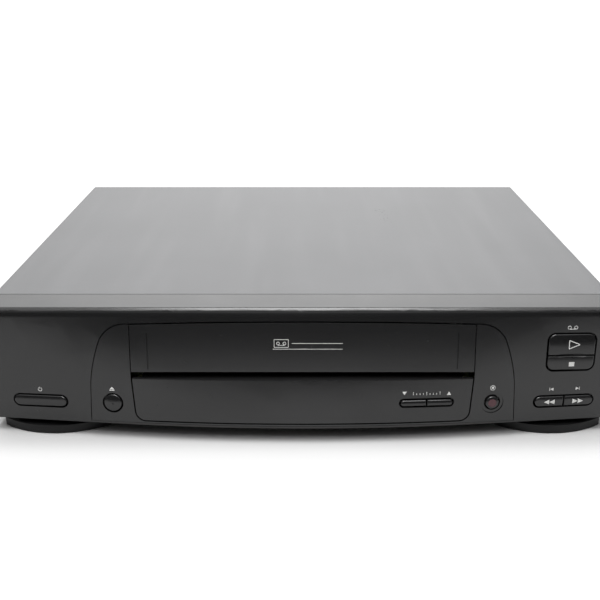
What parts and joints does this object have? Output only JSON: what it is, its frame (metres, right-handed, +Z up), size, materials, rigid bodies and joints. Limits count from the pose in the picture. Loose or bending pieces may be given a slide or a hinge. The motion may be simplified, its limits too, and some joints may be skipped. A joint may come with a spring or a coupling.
{
  "type": "vhs video cassette recorder",
  "caption": "Front-loading home video cassette recorder with a bowed charcoal face, cassette flap, moulded keys and a folded steel cover over a working tape deck.",
  "frame": {"origin": "middle of the bottom of the bounding box, at the undersides of the feet", "axes": "+X to the right of someone who faces the machine, +Y from the face to the back, +Z up"},
  "size_m": [0.38, 0.3096, 0.0804],
  "materials": {
    "case_plastic": "fine-grained charcoal moulding",
    "panel_plastic": "fine-grained charcoal moulding",
    "key_plastic": "satin charcoal moulding",
    "tray_plastic": "black moulding",
    "cover_paint": "charcoal textured paint on steel",
    "foot_rubber": "matt black",
    "zinc_steel": "zinc plated",
    "screw_steel": "blackened",
    "drum_alloy": "machined",
    "brass": "turned",
    "jack_metal": "nickel plated",
    "roller_rubber": "ground rubber",
    "gear_plastic": "natural moulding",
    "reel_plastic": "black moulding",
    "board": "varnished laminate",
    "parts_plastic": "moulded packages",
    "jack_plastic": "black moulding"
  },
  "bodies": {
    "case": {"aerial_jacks": "jack_metal", "aerial_module": "zinc_steel", "audio_head": "drum_alloy", "av_block": "jack_plastic", "av_jacks": "jack_metal", "board_parts": "parts_plastic", "bottom_tray": "tray_plastic", "capstan_bush": "brass", "capstan_stator": "board", "centre_panel": "panel_plastic", "cover_screws": "screw_steel", "deck_plate": "zinc_steel", "erase_head": "drum_alloy", "front_bezel": "case_plastic", "front_feet": "case_plastic", "left_bracket": "zinc_steel", "loading_motor": "zinc_steel", "lower_drum": "drum_alloy", "lower_panel": "panel_plastic", "main_board": "board", "mains_inlet": "jack_plastic", "rear_feet": "foot_rubber", "rear_panel": "zinc_steel", "reel_spindles": "zinc_steel", "right_bracket": "zinc_steel", "supply_board": "board", "supply_parts": "drum_alloy", "switch_board": "board", "tact_switches": "parts_plastic", "tape_posts": "zinc_steel", "top_cover": "cover_paint", "transformer": "screw_steel"},
    "flap": {"cassette_flap": "panel_plastic"},
    "carriage": {"carriage": "zinc_steel"},
    "holder": {"cassette_holder": "zinc_steel"},
    "drum": {"upper_drum": "drum_alloy"},
    "capstan_rotor": {"capstan_shaft": "zinc_steel", "flywheel": "zinc_steel"},
    "supply_reel": {"supply_reel": "reel_plastic"},
    "takeup_reel": {"takeup_reel": "reel_plastic"},
    "pinch_arm": {"pinch_arm": "zinc_steel"},
    "pinch_roller": {"pinch_roller": "roller_rubber"},
    "left_guide": {"left_guide": "zinc_steel"},
    "right_guide": {"right_guide": "zinc_steel"},
    "cam_gear": {"cam_gear": "gear_plastic"},
    "worm": {"worm": "gear_plastic"},
    "channel_knob": {"channel_switch": "jack_plastic"},
    "power_key": {"power_button": "key_plastic"},
    "eject_key": {"eject_button": "key_plastic"},
    "record_key": {"record_button": "key_plastic"},
    "channel_down_key": {"channel_down_button": "key_plastic"},
    "channel_up_key": {"channel_up_button": "key_plastic"},
    "rewind_key": {"rewind_button": "key_plastic"},
    "forward_key": {"forward_button": "key_plastic"},
    "play_key": {"play_button": "key_plastic"},
    "stop_key": {"stop_button": "key_plastic"}
  },
  "joints": [
    {"name": "flap_hinge", "type": "hinge", "parent": "case", "child": "flap", "pos_m": [0, -0.1388, 0.068], "axis": [1, 0, 0], "range_deg": [0, 105], "stiffness_Nm_per_rad": 0.01, "springref_deg": -20.05},
    {"name": "power_press", "type": "slide", "parent": "case", "child": "power_key", "axis": [0, 1, 0], "range_m": [0, 0.0008], "stiffness_N_per_m": 400, "springref_m": -0.0005},
    {"name": "eject_press", "type": "slide", "parent": "case", "child": "eject_key", "axis": [0, 1, 0], "range_m": [0, 0.0008], "stiffness_N_per_m": 400, "springref_m": -0.0005},
    {"name": "record_press", "type": "slide", "parent": "case", "child": "record_key", "axis": [0, 1, 0], "range_m": [0, 0.0008], "stiffness_N_per_m": 400, "springref_m": -0.0005},
    {"name": "channel_down_press", "type": "slide", "parent": "case", "child": "channel_down_key", "axis": [0, 1, 0], "range_m": [0, 0.0008], "stiffness_N_per_m": 400, "springref_m": -0.0005},
    {"name": "channel_up_press", "type": "slide", "parent": "case", "child": "channel_up_key", "axis": [0, 1, 0], "range_m": [0, 0.0008], "stiffness_N_per_m": 400, "springref_m": -0.0005},
    {"name": "rewind_press", "type": "slide", "parent": "case", "child": "rewind_key", "axis": [0, 1, 0], "range_m": [0, 0.0008], "stiffness_N_per_m": 400, "springref_m": -0.0005},
    {"name": "forward_press", "type": "slide", "parent": "case", "child": "forward_key", "axis": [0, 1, 0], "range_m": [0, 0.0008], "stiffness_N_per_m": 400, "springref_m": -0.0005},
    {"name": "play_press", "type": "slide", "parent": "case", "child": "play_key", "axis": [0, 1, 0], "range_m": [0, 0.0008], "stiffness_N_per_m": 400, "springref_m": -0.0005},
    {"name": "stop_press", "type": "slide", "parent": "case", "child": "stop_key", "axis": [0, 1, 0], "range_m": [0, 0.0008], "stiffness_N_per_m": 400, "springref_m": -0.0005},
    {"name": "carriage_run", "type": "slide", "parent": "case", "child": "carriage", "axis": [0, 1, 0], "range_m": [0, 0.045]},
    {"name": "holder_drop", "type": "slide", "parent": "carriage", "child": "holder", "axis": [0, 0, -1], "range_m": [0, 0.012]},
    {"name": "drum_spin", "type": "hinge", "parent": "case", "child": "drum", "pos_m": [-0.006, 0.08785, 0.0256], "axis": [0, 0.1045, 0.9945], "continuous": true},
    {"name": "capstan_spin", "type": "hinge", "parent": "case", "child": "capstan_rotor", "pos_m": [0.072, 0.04785, 0.0256], "axis": [0, 0, 1], "continuous": true},
    {"name": "supply_spin", "type": "hinge", "parent": "case", "child": "supply_reel", "pos_m": [-0.046, -0.01615, 0.0256], "axis": [0, 0, 1], "continuous": true},
    {"name": "takeup_spin", "type": "hinge", "parent": "case", "child": "takeup_reel", "pos_m": [0.046, -0.01615, 0.0256], "axis": [0, 0, 1], "continuous": true},
    {"name": "pinch_swing", "type": "hinge", "parent": "case", "child": "pinch_arm", "pos_m": [0.094, 0.05985, 0.0256], "axis": [0, 0, 1], "range_deg": [0, 30]},
    {"name": "pinch_roller_spin", "type": "hinge", "parent": "pinch_arm", "child": "pinch_roller", "pos_m": [0.07359, 0.06805, 0.0355], "axis": [0, 0, 1], "continuous": true},
    {"name": "right_guide_run", "type": "hinge", "parent": "case", "child": "right_guide", "pos_m": [-0.04596, 0.05288, 0.0256], "axis": [0, 0, 1], "range_deg": [0, 42.18]},
    {"name": "left_guide_run", "type": "hinge", "parent": "case", "child": "left_guide", "pos_m": [0.03396, 0.05288, 0.0256], "axis": [0, 0, -1], "range_deg": [0, 42.18]},
    {"name": "worm_spin", "type": "hinge", "parent": "case", "child": "worm", "pos_m": [-0.0662, 0.09385, 0.0385], "axis": [0, 1, 0], "continuous": true},
    {"name": "cam_spin", "type": "hinge", "parent": "case", "child": "cam_gear", "pos_m": [-0.084, 0.09385, 0.036], "axis": [0, 0, 1], "continuous": true},
    {"name": "channel_select", "type": "slide", "parent": "case", "child": "channel_knob", "axis": [1, 0, 0], "range_m": [0, 0.004]}
  ],
  "couplings": [
    {"joint": "left_guide_run", "follows": "right_guide_run", "ratio": 1},
    {"joint": "worm_spin", "follows": "cam_spin", "ratio": 32}
  ]
}
